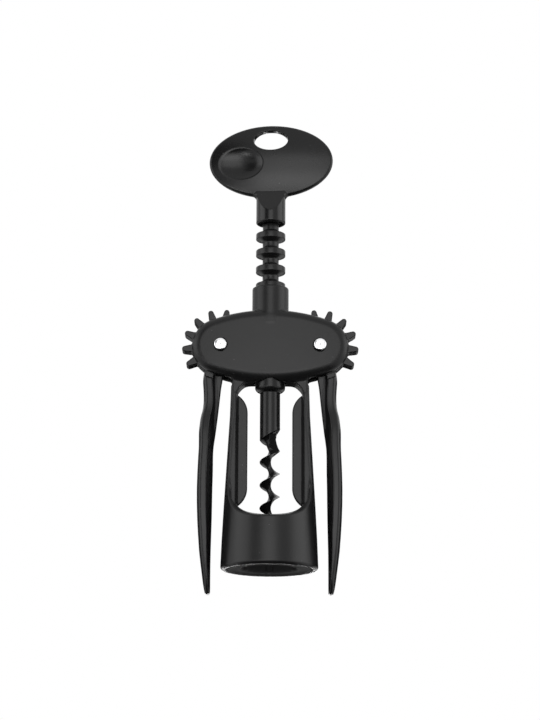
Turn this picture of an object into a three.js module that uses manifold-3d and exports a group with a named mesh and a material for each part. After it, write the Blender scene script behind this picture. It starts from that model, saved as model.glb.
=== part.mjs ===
// Wing corkscrew in millimetres. +Z runs up the worm's axis towards the key, and the front faces -Y.
// The origin is the centre of the bell's mouth, in the plane where a bottle's rim seats.
import * as THREE from "three";
import * as BufferGeometryUtils from "three/addons/utils/BufferGeometryUtils.js";
import Module from "manifold-3d";

const wasm = await Module();
wasm.setup();

// Clearances, and how finely round shapes are cut
const gap = 0.3; // air between two pieces
const slotGap = 0.4; // air on each flat side of a lever in the head
const overrun = 3; // how far a cutter passes the face that it cuts
const roundSteps = 48;
const middleSteps = 30;
const ringSteps = 22;
const smallSteps = 20;

// Bell: a thin cone with a cup below and a window in front and behind
const mouthRadius = 19.17;
const coneTopRadius = 15.9;
const yokeRadius = 15.52; // outer radius where the posts meet the head
const bellWall = 1.5;
const lipRound = 1.3;
const lipBore = 16.9;
const lipFlat = 1; // width of the flat rim between the bore and the rounding
const guideSeat = 10; // height of the step that the bottle guide sits under
const guideStep = 0.75; // width of that step
const archHeight = 8;
const archRise = 1.04; // how far its top reaches into the head
const archPosts = 6; // straight length between the cone and the arch
const yokeHalfDepth = 4.8;
const shoulderRadius = 20.3; // sweep from the flat posts out to the round cup
const shoulderHeight = 37.9; // where that sweep starts
const shoulderShare = 0.38; // how much of a half turn it makes

// Fins: flat webs on the inner side of both posts
const finHalfGap = 8.85;
const finHalfThickness = 1.2;
const finBottom = 32.5;
const finDrop = 5; // from the foot of the arch down to the fins' straight edge
const finEndRadius = 8.8;

// Head: two plates with the levers' gears between them, and a collar for the rack
const pivotHeight = 89.2;
const pivotOffset = 19.82;
const headHalfHeight = 14.74;
const headEndRadius = 11.35;
const headHalfDepth = 7.4;
const headRound = 2.8;
const headRoundShares = [[0, 0], [0.13, 0.5], [0.5, 0.87], [1, 1]]; // inwards and outwards, round the edge
const collarRadius = 7.28;
const collarRise = 24.8; // from the pivots to the collar's top
const collarRound = 0.6;
const gussetRadius = 1.8;

// Rack: rings at the pitch of the gears' teeth
const ringRadius = 5.93;
const rootRadius = 3.27;
const ringPitch = 7;
const ringHalfWidth = 1.2;
const ringHalfBase = 2.25;
const ringsAbove = 7; // rings higher than the pivots
const ringsBelow = 1;
const gapAbovePivot = 0.9; // height of the first gap between rings over the pivots
const rodRadius = 1.9;

// Levers: a gear hub, and an arm that widens to a paddle
const gearTeeth = 14; // in a full circle
const firstTooth = -1;
const lastTooth = 8;
const tipRadius = 15.4;
const gearRootRadius = 11.5;
const toothHalfBase = 1.75;
const toothHalfTip = 1.1;
const gearHalfThickness = 3;
const leverLength = 98.7; // pivot to tip
const leverReach = 8.74; // furthest that the outer face stands out from the pivot
const leverInnerReach = 3.2; // furthest that the inner edge stands out from the pivot
const paddleHalfWidth = 7;
const ridgeHalfWidth = 1.3;
const flangeThickness = 3.7;
const crownHeight = 0.9;
const crownShares = [0.3, 0.6]; // how far down the crown, and how far out, its bend is
const flangeShare = 0.72; // most of the arm's depth that the flange takes
const ridgeShares = [0.5, 0.4]; // how far in and out the hollow of the sides beside the ridge is

// Pivot pins: a shank with a domed head at each end
const pinRadius = 2;
const pinHeadRadius = 2.5;
const pinHeadRim = 0.35;
const pinHeadDome = 0.75;
const pinRecess = 0.8;

// Key: an oval blade on a round neck
const bladeHalfWidth = 25.25;
const bladeHalfHeight = 15.3;
const bladeRise = 26.9; // from the neck's foot to the blade's centre
const bladeHalfThickness = 3.3;
const rimHalfThickness = 1;
const neckRadius = 5.93;
const neckRise = 51.9; // from the pivots to the neck's foot
const neckRound = 0.7;
const neckFlatStart = 4.7; // from the neck's foot to the flats that thin it into the blade
const neckFlatLength = 9.1;
const neckFlatHalfTop = 1.55; // half the neck's thickness at their upper end
const neckFillet = 2.4;
const holeHalfWidth = 6.95;
const holeHalfHeight = 4.2;
const holeRise = 8.2; // above the blade's centre
const dishOffset = 13.8;
const dishDrop = 1.5; // below the blade's centre
const dishHalfWidth = 9.6;
const dishHalfHeight = 7.2;
const thumbDepth = 1.8;
const thumbSinkShare = 0.5; // how much of the ball that cuts the dish stands outside the face
const domeShares = [0.35, 0.65, 0.85]; // where the blade's faces bend, from its centre to its rim
const rodGrip = 7.2; // length of the rod inside the neck
const keyTurn = -4.2; // degrees that the key stands turned at rest, as it was photographed

// Worm: a collar and shank, then a right-handed screw cut from the shank's rod, all on one side
// of the axis at each height, with a section that narrows to a sharp crest
const wormCollarRadius = 5.97;
const wormCollarDrop = 18.2; // from the pivots down to the collar's foot
const wormCollarRound = 1.9; // round its foot
const shankRadius = 4;
const shankLength = 19.6; // on the left, where the sloping end is lowest
const shankSlope = 4.5; // how much shorter it is on the right
const wormPitch = 9.2;
const wormCrestDrop = 4; // from the shank's lowest point to the first crest on the right
const wormHalfWidth = 1.29;
const wormHeel = 0.46; // how far the section's blunt side reaches past the axis
const wormCrestShare = 0.76; // how strongly the section narrows towards its crest
const wormRunoutShare = 0.75; // how much of the shank's width the section fills where it starts
const wormTip = 7; // height of the point above the mouth
const wormPoint = 0.35;
const wormTaper = 8; // length of the pointed end
const wormStepsPerTurn = 18;
const wormSides = 12;

// Bottle guide: a ring that centres the bottle's rim and grips the cork
const guideBore = 11; // at its lower face, and narrower upwards by the draft
const guideDraft = 1.2;
const guideFace = 0.6; // height of its lower face inside the lip
const guideFloor = 2;
const guideWall = 1.5;
const guideRibs = 6;
const guideRibHeight = 1;
const guideRibHalfWidth = 1.2;

// Black lacquer over cast zinc, with bright steel only on the pins
const lacquer = { color: 0x262627, roughness: 0.5, metalness: 0 };
const leverLacquer = { color: 0x232324, roughness: 0.42, metalness: 0 };
const plastic = { color: 0x1d1d1e, roughness: 0.55, metalness: 0 };
const brightSteel = { color: 0xd9dadc, roughness: 0.22, metalness: 1 };

// Solids for joining and cutting

function toSolid(geometry) {
  const bare = geometry.clone();
  bare.deleteAttribute("normal");
  bare.deleteAttribute("uv");
  const merged = BufferGeometryUtils.mergeVertices(bare);
  const corners = merged.index.array;
  const faces = [];
  for (let i = 0; i < corners.length; i += 3) {
    const [a, b, c] = [corners[i], corners[i + 1], corners[i + 2]];
    if (a !== b && b !== c && c !== a) {
      faces.push(a, b, c);
    }
  }
  const vertProperties = Float32Array.from(merged.attributes.position.array);
  return new wasm.Manifold(new wasm.Mesh({ numProp: 3, vertProperties, triVerts: Uint32Array.from(faces) }));
}

function toGeometry(solid) {
  const mesh = solid.getMesh();
  const geometry = new THREE.BufferGeometry();
  geometry.setAttribute("position", new THREE.BufferAttribute(Float32Array.from(mesh.vertProperties), 3));
  geometry.setIndex(new THREE.BufferAttribute(Uint32Array.from(mesh.triVerts), 1));
  geometry.computeVertexNormals();
  return geometry;
}

function piece(name, geometry, finish) {
  const mesh = new THREE.Mesh(geometry, new THREE.MeshStandardMaterial(finish));
  mesh.name = name;
  return mesh;
}

// A profile of [radius, height] points turned about the worm's axis
function turned(points, steps = roundSteps) {
  const profile = points.map(([radius, height]) => new THREE.Vector2(radius, height));
  return new THREE.LatheGeometry(profile, steps).rotateX(Math.PI / 2);
}

function cylinder(radius, bottom, top, steps = roundSteps) {
  return new THREE.CylinderGeometry(radius, radius, top - bottom, steps)
    .rotateX(Math.PI / 2)
    .translate(0, 0, (bottom + top) / 2);
}

// A round bar from front to back
function crossBar(radius, x, z, halfLength, steps = roundSteps) {
  return new THREE.CylinderGeometry(radius, radius, 2 * halfLength, steps).translate(x, 0, z);
}

// A shape drawn in X and Z, given a depth in Y
function plate(shape, back, front, curveSegments = roundSteps) {
  return new THREE.ExtrudeGeometry(shape, { depth: front - back, bevelEnabled: false, curveSegments })
    .rotateX(Math.PI / 2)
    .translate(0, front, 0);
}

function outline(points) {
  return new THREE.Shape(points.map(([x, z]) => new THREE.Vector2(x, z)));
}

// Points along an ellipse as [x, z], from one angle to another
function arc(centreX, centreZ, radiusX, radiusZ, from, to, steps) {
  const points = [];
  for (let i = 0; i <= steps; i += 1) {
    const angle = from + ((to - from) * i) / steps;
    points.push([centreX + radiusX * Math.cos(angle), centreZ + radiusZ * Math.sin(angle)]);
  }
  return points;
}

function mirrored(points) {
  return points.map(([x, z]) => [-x, z]).reverse();
}

// Bell frame: cup, posts with fins, head plates and collar, cast as one

const headBottom = pivotHeight - headHalfHeight;
const archTop = headBottom + archRise;
const archBase = archTop - archHeight;
const coneTop = archBase - archPosts;
const finTop = archBase - finDrop;
const collarTop = pivotHeight + collarRise;
const coneRadius = (z) => mouthRadius + ((coneTopRadius - mouthRadius) * z) / coneTop;
const innerRadius = (z) => coneRadius(z) - bellWall;
const rackBore = ringRadius + gap;
const wormBore = wormCollarRadius + gap;
const slotHalfWidth = gearHalfThickness + slotGap;
const gearPocket = tipRadius + 2 * gap;

function bellShell() {
  const lip = arc(lipBore + lipFlat, lipRound, mouthRadius - lipBore - lipFlat, lipRound, -Math.PI / 2, 0, 4);
  const outside = [...lip, [coneTopRadius, coneTop], [yokeRadius, headBottom], [yokeRadius, pivotHeight]];
  const body = toSolid(turned([[0, 0], ...outside, [0, pivotHeight]]));
  const cavity = toSolid(
    turned([
      [0, -overrun],
      [lipBore, -overrun],
      [lipBore, guideSeat],
      [lipBore - guideStep, guideSeat],
      [innerRadius(coneTop), coneTop],
      [innerRadius(coneTop), archBase],
      ...arc(wormBore, archBase, innerRadius(coneTop) - wormBore, archHeight, 0, Math.PI / 2, 8).slice(1),
      [0, archTop],
    ]),
  );
  return body.subtract(cavity);
}

// The side view of the bell: flat posts that sweep out to the cup
function sideProfile() {
  const sweepCentre = yokeHalfDepth + shoulderRadius;
  const sweepEnd = Math.PI * (1 + shoulderShare);
  const sweep = arc(sweepCentre, shoulderHeight, shoulderRadius, shoulderRadius, Math.PI, sweepEnd, 8);
  const [lastX, lastZ] = sweep[sweep.length - 1];
  const rightHalf = [
    [mouthRadius + overrun, -overrun],
    [mouthRadius + overrun, lastZ],
    [lastX, lastZ],
    ...sweep.reverse().slice(1),
    [yokeHalfDepth, pivotHeight + overrun],
  ];
  const side = plate(outline([...rightHalf, ...mirrored(rightHalf)]), -mouthRadius - overrun, mouthRadius + overrun);
  return toSolid(side.rotateZ(Math.PI / 2));
}

function fins() {
  const wallside = coneRadius(finBottom - finEndRadius) - bellWall / 2;
  const edgeX = finHalfGap;
  const bottomArc = arc(edgeX + finEndRadius, finBottom, finEndRadius, finEndRadius, -Math.PI / 2, -Math.PI, 6);
  const topArc = arc(edgeX + finEndRadius, finTop, finEndRadius, finEndRadius, Math.PI, Math.PI / 2, 6);
  const right = [...bottomArc, ...topArc];
  const inside = toSolid(
    turned([
      [0, finBottom - finEndRadius - overrun],
      [wallside, finBottom - finEndRadius - overrun],
      [coneTopRadius - bellWall / 2, coneTop],
      [coneTopRadius - bellWall / 2, archTop],
      [0, archTop],
    ]),
  );
  const rightFin = toSolid(plate(outline(right), -finHalfThickness, finHalfThickness));
  const leftFin = toSolid(plate(outline(mirrored(right)), -finHalfThickness, finHalfThickness));
  return rightFin.add(leftFin).intersect(inside);
}

// Half the head's outline: small arcs about the pivots, joined by large ones above and below
function headOutline(grow) {
  const end = headEndRadius + grow;
  const high = headHalfHeight + grow;
  const largeRadius = (pivotOffset ** 2 + high ** 2 - end ** 2) / (2 * (high - end));
  const drop = largeRadius - high;
  const turn = Math.atan2(pivotOffset, drop);
  const top = arc(0, pivotHeight - drop, largeRadius, largeRadius, Math.PI / 2 + turn, Math.PI / 2 - turn, 12);
  const right = arc(pivotOffset, pivotHeight, end, end, Math.PI / 2 - turn, turn - Math.PI / 2, 14);
  const bottom = top.map(([x, z]) => [-x, 2 * pivotHeight - z]);
  const left = right.map(([x, z]) => [-x, 2 * pivotHeight - z]);
  return [...top.slice(0, -1), ...right.slice(0, -1), ...bottom.slice(0, -1), ...left.slice(0, -1)];
}

function headPlates() {
  const layers = headRoundShares.map(([inwards, outwards]) => [-inwards * headRound, outwards * headRound]);
  const rings = [];
  for (const [grow, out] of layers.slice().reverse()) {
    rings.push([grow, -headHalfDepth + headRound - out]);
  }
  for (const [grow, out] of layers) {
    rings.push([grow, headHalfDepth - headRound + out]);
  }
  const sections = rings.map(([grow, y]) => headOutline(grow).map(([x, z]) => new THREE.Vector3(x, y, z)));
  return toSolid(lofted(sections));
}

// A closed skin over a row of sections that have the same number of points
function lofted(sections) {
  const count = sections[0].length;
  const positions = sections.flat().flatMap((point) => [point.x, point.y, point.z]);
  const faces = [];
  for (let s = 0; s + 1 < sections.length; s += 1) {
    for (let i = 0; i < count; i += 1) {
      const a = s * count + i;
      const b = s * count + ((i + 1) % count);
      faces.push(a, b, b + count, a, b + count, a + count);
    }
  }
  for (const [section, flip] of [[0, true], [sections.length - 1, false]]) {
    const middle = sections[section].reduce((sum, point) => sum.add(point), new THREE.Vector3()).divideScalar(count);
    const centre = positions.length / 3;
    positions.push(middle.x, middle.y, middle.z);
    for (let i = 0; i < count; i += 1) {
      const a = section * count + i;
      const b = section * count + ((i + 1) % count);
      faces.push(centre, flip ? b : a, flip ? a : b);
    }
  }
  const geometry = new THREE.BufferGeometry();
  geometry.setAttribute("position", new THREE.Float32BufferAttribute(positions, 3));
  geometry.setIndex(faces);
  return geometry;
}

// Fillets between the posts' outer sides and the head
function gussets() {
  const foot = headBottom - gussetRadius / 2;
  const right = [
    [yokeRadius - bellWall, foot - gussetRadius],
    ...arc(yokeRadius + gussetRadius, foot - gussetRadius, gussetRadius, gussetRadius, Math.PI, Math.PI / 2, 5),
    [yokeRadius + gussetRadius, pivotHeight],
    [yokeRadius - bellWall, pivotHeight],
  ];
  const rightGusset = toSolid(plate(outline(right), -yokeHalfDepth, yokeHalfDepth));
  return rightGusset.add(toSolid(plate(outline(mirrored(right)), -yokeHalfDepth, yokeHalfDepth)));
}

function bellFrame() {
  let frame = bellShell().intersect(sideProfile()).add(fins()).add(gussets()).add(headPlates());
  const rim = arc(collarRadius - collarRound, collarTop - collarRound, collarRound, collarRound, 0, Math.PI / 2, 2);
  frame = frame.add(toSolid(turned([[0, headBottom], [collarRadius, headBottom], ...rim, [0, collarTop]])));
  for (const side of [-1, 1]) {
    const x = side * pivotOffset;
    frame = frame.subtract(toSolid(crossBar(gearPocket, x, pivotHeight, slotHalfWidth)));
    frame = frame.subtract(toSolid(crossBar(pinRadius + gap, x, pivotHeight, headHalfDepth + overrun, smallSteps)));
    for (const face of [-1, 1]) {
      const recess = crossBar(pinHeadRadius + gap, x, pivotHeight, pinRecess, smallSteps);
      frame = frame.subtract(toSolid(recess.translate(0, face * headHalfDepth, 0)));
    }
  }
  frame = frame.subtract(toSolid(cylinder(rackBore, archTop - overrun, collarTop + overrun)));
  frame = frame.subtract(toSolid(cylinder(wormBore, archTop - overrun, pivotHeight - gapAbovePivot)));
  return toGeometry(frame);
}

// Bottle guide: a floor ring with a bore and six ribs, and an outer skirt up to the seat

function bottleGuide() {
  const skirt = lipBore - gap;
  const top = guideSeat - gap;
  const body = toSolid(
    turned([
      [guideBore, guideFace],
      [skirt, guideFace],
      [skirt, top],
      [skirt - guideWall, top],
      [skirt - guideWall, guideFace + guideFloor],
      [guideBore + guideWall, guideFace + guideFloor],
      [guideBore + guideWall - guideDraft, top],
      [guideBore - guideDraft, top],
      [guideBore, guideFace],
    ]),
  );
  let guide = body;
  for (let i = 0; i < guideRibs; i += 1) {
    const length = guideRibHeight + guideWall / 2;
    const height = top - guideFace;
    const rib = new THREE.BoxGeometry(length, 2 * guideRibHalfWidth, height);
    rib.translate(guideBore + guideWall / 2 - length / 2, 0, top - height / 2);
    guide = guide.add(toSolid(rib.rotateZ(Math.PI / 2 + (2 * Math.PI * i) / guideRibs)));
  }
  return toGeometry(guide);
}

// Rack sleeve: rings on a tube that the worm's rod runs through

const neckBottom = pivotHeight + neckRise;
const sleeveTop = neckBottom - gap;
const ringHeight = (n) => pivotHeight + gapAbovePivot + (n + 0.5) * ringPitch;
const sleeveBottom = ringHeight(-ringsBelow) - ringPitch / 2 - ringHalfWidth;
const wormCollarTop = sleeveBottom - gap;

function rackSleeve() {
  const side = [[rootRadius, sleeveBottom]];
  for (let n = -ringsBelow; n < ringsAbove; n += 1) {
    const z = ringHeight(n);
    side.push([rootRadius, z - ringHalfBase], [ringRadius, z - ringHalfWidth]);
    side.push([ringRadius, z + ringHalfWidth], [rootRadius, z + ringHalfBase]);
  }
  side.push([rootRadius, sleeveTop]);
  const bore = rodRadius + gap;
  const profile = [[bore, sleeveBottom], ...side, [bore, sleeveTop], [bore, sleeveBottom]];
  return toGeometry(toSolid(turned(profile, ringSteps)));
}

// Lever: half a gear on a hub, with an arm that becomes a paddle with a ridge down its inner side

const pitchRadius = (gearTeeth * ringPitch) / (2 * Math.PI);
const toothPhase = Math.asin(gapAbovePivot / pitchRadius);

// Shares of leverLength down, leverReach out, leverInnerReach in, and paddleHalfWidth wide, with
// the share of the way from a plain bar (0) to a paddle with a narrow ridge down its inner side (1)
const armShares = [
  [0.041, 0.62, -0.62, 0.43, 0],
  [0.135, 0.79, -0.27, 0.43, 0],
  [0.139, 0.79, -0.26, 0.52, 0],
  [0.165, 0.757, -0.1, 0.52, 0],
  [0.198, 0.737, 0, 0.53, 0.25],
  [0.231, 0.737, 0.1, 0.55, 0.55],
  [0.263, 0.78, 0.21, 0.6, 0.8],
  [0.281, 0.853, 0.26, 0.66, 0.9],
  [0.313, 0.9, 0.38, 0.76, 1],
  [0.347, 0.939, 0.5, 0.85, 1],
  [0.379, 0.936, 0.64, 0.9, 1],
  [0.411, 0.933, 0.78, 0.94, 1],
  [0.444, 0.952, 0.82, 0.97, 1],
  [0.51, 0.983, 0.82, 1, 1],
  [0.574, 1, 0.86, 1, 1],
  [0.638, 0.992, 0.875, 0.99, 1],
  [0.703, 0.965, 0.9, 0.96, 1],
  [0.767, 0.919, 0.94, 0.92, 1],
  [0.831, 0.863, 0.985, 0.87, 1],
  [0.895, 0.772, 1, 0.8, 1],
  [0.958, 0.676, 1, 0.7, 1],
  [0.985, 0.625, 1, 0.52, 0.6],
  [1, 0.573, 1.05, 0.3, 0],
];

// One section of the arm, from its inner edge round the front to the outer face
function armSection([downShare, outShare, inShare, widthShare, ridgeShare]) {
  const down = downShare * leverLength;
  const outer = outShare * leverReach;
  const inner = inShare * leverInnerReach;
  const half = widthShare * paddleHalfWidth;
  const ridge = half + (ridgeHalfWidth - half) * ridgeShare;
  const depth = outer - inner;
  const flange = Math.min(flangeThickness, depth * flangeShare);
  const crown = Math.min(crownHeight, depth / 3) * Math.max(ridgeShare, crownShares[0]);
  const under = outer - flange;
  const half1 = [
    [inner, ridge],
    [inner + (under - inner) * ridgeShares[0], ridge + (half - ridge) * ridgeShares[1]],
    [under, half],
    [outer - crown, half],
    [outer - crown * crownShares[0], half * crownShares[1]],
  ];
  const right = half1.map(([out, y]) => new THREE.Vector3(out, -y, -down));
  const left = half1.map(([out, y]) => new THREE.Vector3(out, y, -down)).reverse();
  return [...right, new THREE.Vector3(outer, 0, -down), ...left];
}

function tooth(angle) {
  const straight = tipRadius - toothHalfTip;
  const round = arc(straight, 0, toothHalfTip, toothHalfTip, -Math.PI / 2, Math.PI / 2, 6);
  const root = gearRootRadius - toothHalfBase / 2;
  const shape = outline([[root, -toothHalfBase], ...round, [root, toothHalfBase]]);
  return plate(shape, -gearHalfThickness, gearHalfThickness).rotateY(-angle);
}

// Built as the right-hand lever, with its pivot at the origin and its gear meshing on the left
function leverSolid() {
  let lever = toSolid(crossBar(gearRootRadius, 0, 0, gearHalfThickness));
  for (let n = firstTooth; n <= lastTooth; n += 1) {
    lever = lever.add(toSolid(tooth(Math.PI - toothPhase - (n * 2 * Math.PI) / gearTeeth)));
  }
  lever = lever.add(toSolid(lofted(armShares.map(armSection).reverse())));
  return lever.subtract(toSolid(crossBar(pinRadius + gap, 0, 0, gearHalfThickness + overrun, smallSteps)));
}

function placedLever(side) {
  const geometry = toGeometry(leverSolid());
  if (side < 0) {
    geometry.scale(-1, 1, 1);
    geometry.setIndex(Array.from(geometry.index.array).reverse());
  }
  return geometry;
}

// Pivot pin: a rivet with a domed head at each end, set in the plates' recesses

function pivotPin() {
  const seat = headHalfDepth - pinRecess + gap;
  const rim = seat + pinHeadRim;
  const head = arc(0, rim, pinHeadRadius, pinHeadDome, 0, Math.PI / 2, 4);
  const upper = [[pinRadius, seat], [pinHeadRadius, seat], ...head.slice(0, -1)];
  const lower = upper.map(([radius, y]) => [radius, -y]).reverse();
  return turned([[0, -rim - pinHeadDome], ...lower, ...upper, [0, rim + pinHeadDome]], smallSteps).rotateX(Math.PI / 2);
}

// Key: an oval lens with a hole and a thumb dish on each face, on a neck with two flats

const bladeCentre = neckBottom + bladeRise;
const holeCentre = bladeCentre + holeRise;
const dishCentre = bladeCentre - dishDrop;

function keyHandle() {
  const rimCentre = bladeHalfHeight - rimHalfThickness;
  const rim = arc(rimCentre, 0, rimHalfThickness, rimHalfThickness, -Math.PI / 2, Math.PI / 2, 4);
  const dome = domeShares.map((share) => {
    return [share * rimCentre, bladeHalfThickness + (rimHalfThickness - bladeHalfThickness) * share ** 2];
  });
  const under = dome.map(([radius, y]) => [radius, -y]);
  const profile = [[0, -bladeHalfThickness], ...under, ...rim, ...dome.reverse(), [0, bladeHalfThickness]];
  const lens = turned(profile).rotateX(Math.PI / 2).scale(bladeHalfWidth / bladeHalfHeight, 1, 1);
  let key = toSolid(lens.translate(0, 0, bladeCentre)).add(neck());

  const opening = crossBar(1, 0, 0, bladeHalfThickness + overrun).scale(holeHalfWidth, 1, holeHalfHeight);
  key = key.subtract(toSolid(opening.translate(0, 0, holeCentre)));

  const spread = 1 / Math.sqrt(1 - thumbSinkShare ** 2);
  const ballDepth = thumbDepth / (1 - thumbSinkShare);
  for (const face of [-1, 1]) {
    const ball = new THREE.SphereGeometry(1, middleSteps, smallSteps / 2);
    ball.scale(dishHalfWidth * spread, ballDepth, dishHalfHeight * spread);
    ball.translate(face * dishOffset, face * (dishFace() + thumbSinkShare * ballDepth), dishCentre);
    key = key.subtract(toSolid(ball));
  }
  return toGeometry(key).rotateZ((keyTurn * Math.PI) / 180);
}

// Depth of the blade's face at the middle of a thumb dish
function dishFace() {
  const share = Math.hypot(dishOffset / bladeHalfWidth, (dishCentre - bladeCentre) / bladeHalfHeight);
  return bladeHalfThickness + (rimHalfThickness - bladeHalfThickness) * share ** 2;
}

function neck() {
  const foot = arc(neckRadius - neckRound, neckBottom + neckRound, neckRound, neckRound, -Math.PI / 2, 0, 2);
  const top = bladeCentre - bladeHalfHeight + neckRadius;
  let stem = toSolid(turned([[0, neckBottom], ...foot, [neckRadius, top], [0, top]]));

  // The fillets are drawn from the neck's side out to where the blade's edge passes their top
  const filletTop = bladeCentre - bladeHalfHeight * Math.sqrt(1 - ((neckRadius + neckFillet) / bladeHalfWidth) ** 2);
  const right = [
    [0, filletTop - neckFillet],
    ...arc(neckRadius + neckFillet, filletTop - neckFillet, neckFillet, neckFillet, Math.PI, Math.PI / 2, 5),
    [neckRadius + neckFillet, filletTop + rimHalfThickness],
    [0, filletTop + rimHalfThickness],
  ];
  stem = stem.add(toSolid(plate(outline(right), -rimHalfThickness, rimHalfThickness)));
  stem = stem.add(toSolid(plate(outline(mirrored(right)), -rimHalfThickness, rimHalfThickness)));

  const lean = Math.atan2(neckRadius - neckFlatHalfTop, neckFlatLength);
  for (const face of [-1, 1]) {
    const cutter = new THREE.BoxGeometry(4 * neckRadius, 2 * neckRadius, 6 * neckRadius);
    cutter.translate(0, face * neckRadius, 0).rotateX(face * lean);
    cutter.translate(0, face * neckRadius, neckBottom + neckFlatStart);
    stem = stem.subtract(toSolid(cutter));
  }
  const bore = cylinder(rodRadius + gap, neckBottom - overrun, neckBottom + rodGrip + gap, smallSteps);
  return stem.subtract(toSolid(bore));
}

// Worm: the rod through the rack, the collar under it, the shank and the screw

const wormCollarBottom = pivotHeight - wormCollarDrop;
const shankLow = wormCollarBottom - shankLength;
const shankHigh = shankLow + shankSlope;
const wormCrest = shankLow - wormCrestDrop;

function wormSpindle() {
  const rodTop = neckBottom + rodGrip;
  const foot = wormCollarBottom + wormCollarRound;
  const round = arc(wormCollarRadius - wormCollarRound, foot, wormCollarRound, wormCollarRound, -Math.PI / 2, 0, 3);
  const turning = toSolid(
    turned(
      [
        [0, shankLow - overrun],
        [shankRadius, shankLow - overrun],
        [shankRadius, wormCollarBottom],
        ...round,
        [wormCollarRadius, wormCollarTop],
        [rodRadius, wormCollarTop],
        [rodRadius, rodTop],
        [0, rodTop],
      ],
      middleSteps,
    ),
  );
  const slope = Math.atan2(shankHigh - shankLow, 2 * shankRadius);
  const cutter = new THREE.BoxGeometry(6 * shankRadius, 4 * shankRadius, 4 * shankRadius);
  cutter.translate(0, 0, -2 * shankRadius).rotateY(-slope).translate(0, 0, (shankLow + shankHigh) / 2);
  return toGeometry(turning.subtract(toSolid(cutter)).add(toSolid(screw())));
}

// Half the section's width at an angle round it, from 0 at the crest and at the heel up to 1
function dropShape(around) {
  const widest = Math.sqrt((1 + wormCrestShare) / (2 + wormCrestShare));
  const peak = (2 * widest ** (1 + wormCrestShare)) / Math.sqrt(2 + wormCrestShare);
  return (Math.sin(around) * Math.abs(Math.sin(around / 2)) ** wormCrestShare) / peak;
}

function screw() {
  const top = shankHigh + wormHalfWidth;
  const crest = shankRadius * Math.cos(Math.PI / middleSteps);
  const steps = Math.round(((top - wormTip) / wormPitch) * wormStepsPerTurn);
  const sections = [];
  for (let s = 0; s <= steps; s += 1) {
    const z = wormTip + ((top - wormTip) * s) / steps;

    // The point thins downwards, and above the first crest the groove runs out into the shank
    const full = Math.min((z - wormTip) / wormTaper, 1);
    const size = Math.sin((full * Math.PI) / 2);
    const runout = Math.min(Math.max((z - wormCrest) / (shankHigh - wormCrest), 0), 1);
    const heel = wormHeel + (crest - wormHeel) * runout;
    const widest = wormHalfWidth + (shankRadius - wormHalfWidth) * wormRunoutShare * runout ** 2;
    const half = wormPoint + (widest - wormPoint) * size;
    const far = crest - (1 - full) * wormPoint * 2;
    const near = far - 2 * wormPoint - (far - 2 * wormPoint + heel) * size;
    const angle = (2 * Math.PI * (z - wormCrest)) / wormPitch;
    const section = [];
    for (let i = 0; i < wormSides; i += 1) {
      const around = (2 * Math.PI * i) / wormSides;
      const along = (far + near) / 2 + ((far - near) / 2) * Math.cos(around);
      const across = half * dropShape(around);
      const x = along * Math.cos(angle) - across * Math.sin(angle);
      const y = along * Math.sin(angle) + across * Math.cos(angle);
      section.push(new THREE.Vector3(x, y, z));
    }
    sections.push(section);
  }
  return lofted(sections);
}

// The corkscrew at rest: wings down, rack and key up

const corkscrew = new THREE.Group();
corkscrew.add(piece("bell_frame", bellFrame(), lacquer));
corkscrew.add(piece("bottle_guide", bottleGuide(), plastic));
corkscrew.add(piece("rack_sleeve", rackSleeve(), lacquer));
corkscrew.add(piece("key_handle", keyHandle(), lacquer));
corkscrew.add(piece("worm_spindle", wormSpindle(), lacquer));
for (const [label, side] of [["left", -1], ["right", 1]]) {
  const lever = piece(`lever_${label}`, placedLever(side), leverLacquer);
  lever.position.set(side * pivotOffset, 0, pivotHeight);
  corkscrew.add(lever);
  const pin = piece(`pivot_pin_${label}`, pivotPin(), brightSteel);
  pin.position.set(side * pivotOffset, 0, pivotHeight);
  corkscrew.add(pin);
}

export default corkscrew;
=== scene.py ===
from math import asin, cos, pi, radians, sin

import bpy
import numpy as np
from mathutils import Matrix, Vector


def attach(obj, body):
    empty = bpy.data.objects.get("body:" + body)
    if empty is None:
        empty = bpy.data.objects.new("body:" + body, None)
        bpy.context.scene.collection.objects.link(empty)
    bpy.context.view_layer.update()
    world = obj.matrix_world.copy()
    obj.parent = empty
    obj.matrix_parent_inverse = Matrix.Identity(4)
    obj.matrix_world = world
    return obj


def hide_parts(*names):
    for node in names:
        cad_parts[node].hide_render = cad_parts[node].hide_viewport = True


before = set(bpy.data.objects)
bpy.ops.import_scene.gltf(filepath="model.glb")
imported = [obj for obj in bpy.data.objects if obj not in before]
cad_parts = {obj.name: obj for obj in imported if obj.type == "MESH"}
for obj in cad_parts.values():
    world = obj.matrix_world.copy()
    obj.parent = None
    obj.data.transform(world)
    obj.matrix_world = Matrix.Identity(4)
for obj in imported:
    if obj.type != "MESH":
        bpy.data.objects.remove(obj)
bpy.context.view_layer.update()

# The photograph's camera: about 830 mm in front of the worm's axis and below the bell's mouth,
# tilted up, so that the tool is seen from 8 degrees below at the mouth and from 19 at the key.
# The lens is long, and the photograph's frame is upright, three wide to four high.
photo_height = 720
focal_length = 2140  # in the photograph's pixels
film_height = 36
camera_tilt = 13.84
camera_roll = -0.25

camera_data = bpy.data.cameras.new("photo_camera")
camera_data.sensor_fit = "VERTICAL"
camera_data.sensor_height = film_height
camera_data.lens = film_height * focal_length / photo_height
camera_data.clip_start = 0.02
camera_data.clip_end = 20
camera = bpy.data.objects.new("photo_camera", camera_data)
bpy.context.scene.collection.objects.link(camera)
camera.location = (0.0008, -0.830, -0.120)
camera.rotation_euler = (radians(90 + camera_tilt), radians(camera_roll), 0)
bpy.context.scene.camera = camera

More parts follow.
